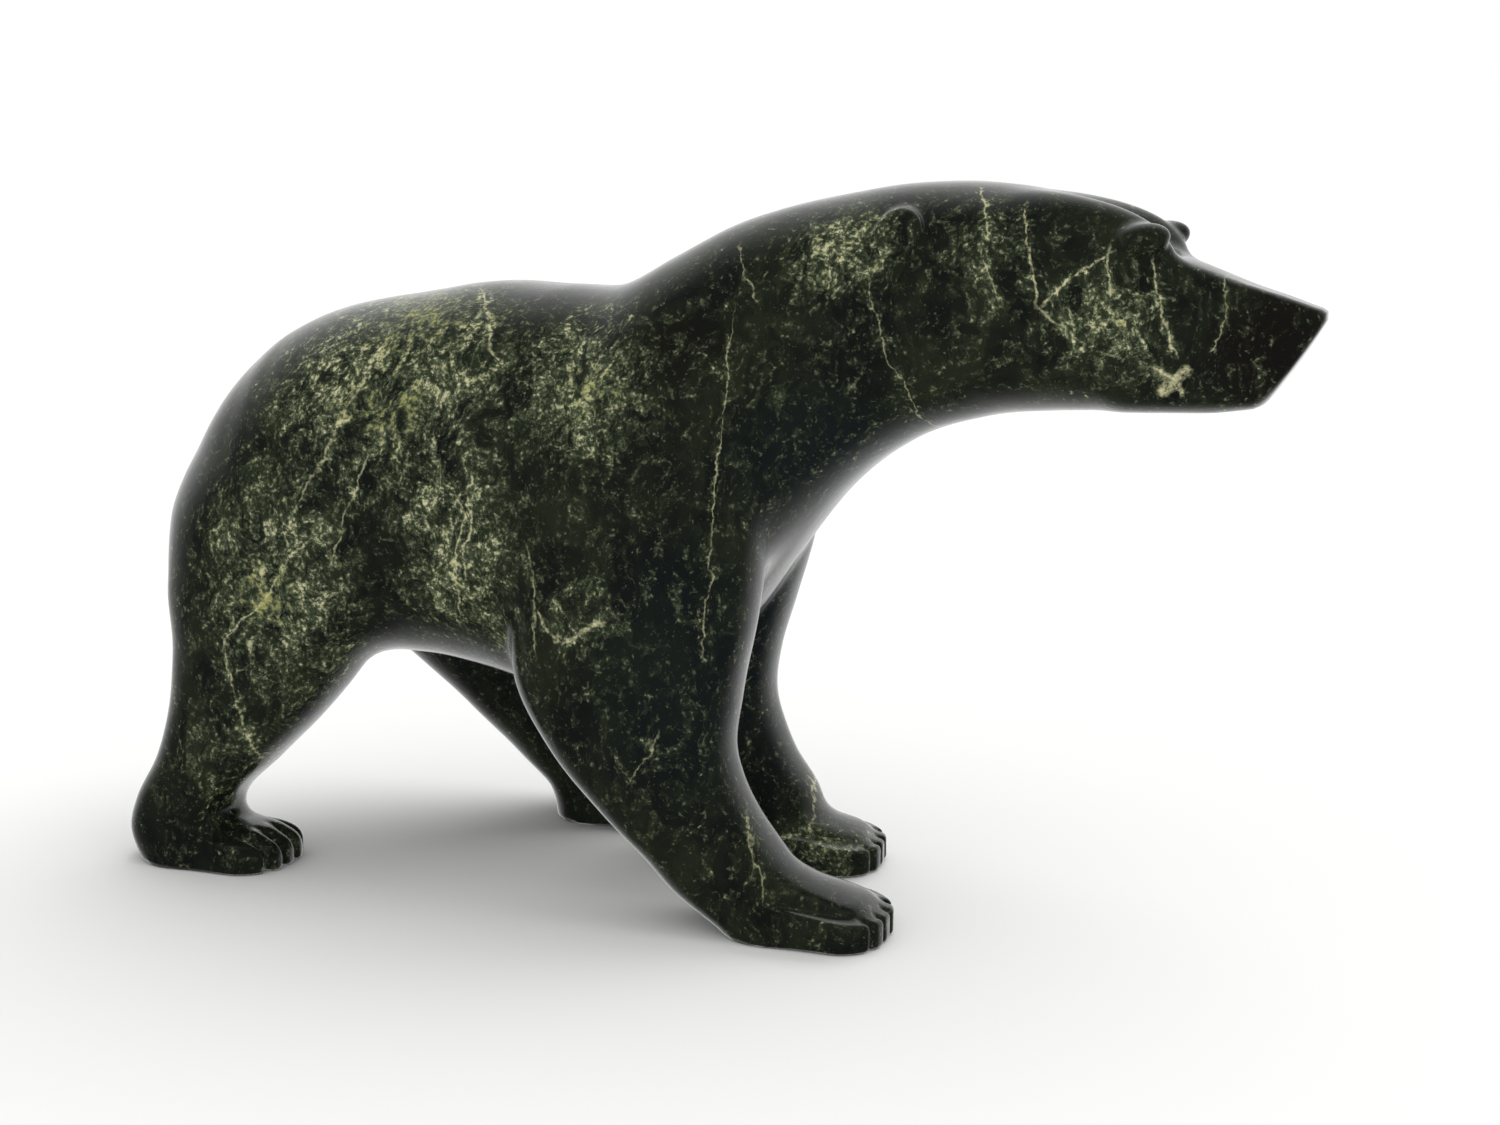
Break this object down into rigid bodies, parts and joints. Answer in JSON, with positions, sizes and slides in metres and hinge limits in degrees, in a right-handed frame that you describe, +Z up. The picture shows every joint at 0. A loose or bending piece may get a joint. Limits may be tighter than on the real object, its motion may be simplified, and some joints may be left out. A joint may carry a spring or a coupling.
{
  "type": "stone bear carving",
  "caption": "Walking bear carved from a single block of polished dark green soapstone. It stands on its own flat feet, head held level.",
  "frame": {"origin": "on the floor plane, under the middle of the carving's overall box", "axes": "+X the way the bear faces, +Z up, so the bear's right side is -Y and its left side is +Y"},
  "size_m": [0.285, 0.0972, 0.1684],
  "materials": {
    "soapstone": "hand polished and waxed, soft gloss; near-black green with olive mottling, pale speckles and fine pale veins"
  },
  "bodies": {
    "root": {"bear": "soapstone"}
  },
  "joints": []
}
